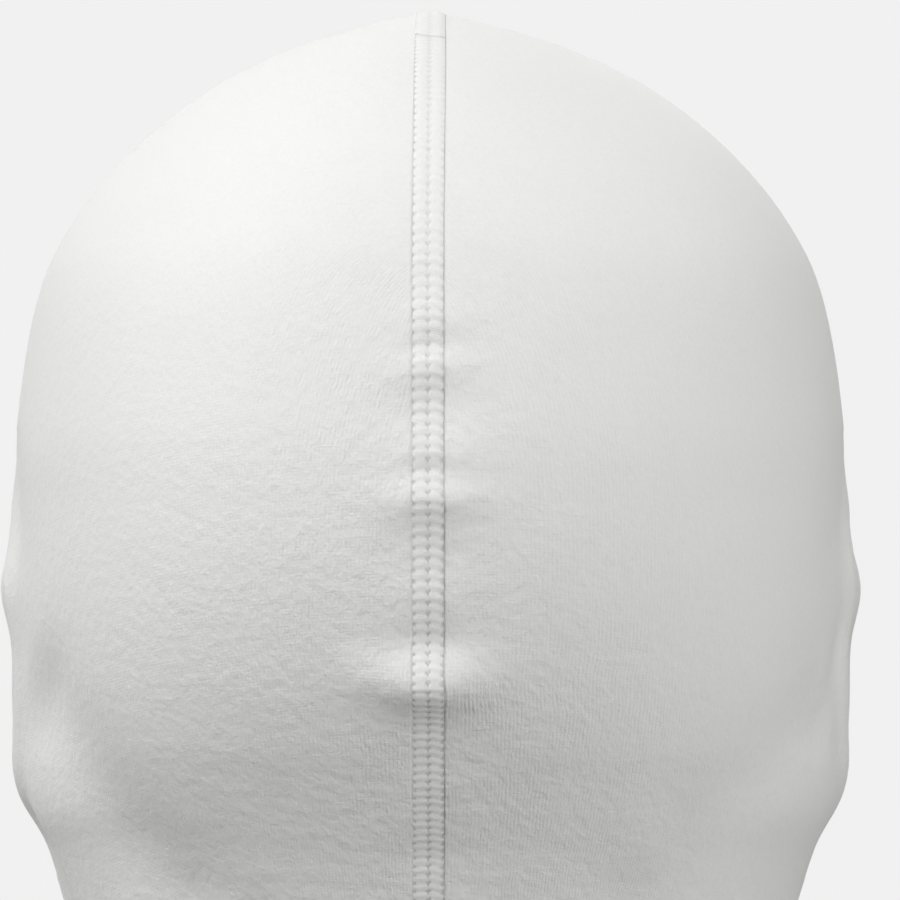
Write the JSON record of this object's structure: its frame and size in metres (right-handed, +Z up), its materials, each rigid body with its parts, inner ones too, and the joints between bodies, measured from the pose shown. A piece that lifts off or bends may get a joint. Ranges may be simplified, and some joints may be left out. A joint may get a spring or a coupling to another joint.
{
  "type": "flame resistant balaclava",
  "caption": "Close-fitting knit hood for head and neck with one oval face opening, a flat seam over the crown and down the back, a bound opening edge and a hemmed skirt.",
  "frame": {"origin": "inside top of the crown, where the seam crosses it and the top of the head sits", "axes": "+Z up through the crown, -Y out through the face opening, +X towards the wearer's left"},
  "size_m": [0.1644, 0.2038, 0.3724],
  "materials": {
    "jersey": "matt fine-rib knit, white",
    "seam_thread": "soft textured thread, white",
    "band": "matt doubled knit, white"
  },
  "bodies": {
    "root": {"panel_left": "jersey", "panel_right": "jersey", "back_seam": "seam_thread", "chin_seam": "seam_thread", "face_binding": "band", "neck_hem": "band"}
  },
  "joints": []
}
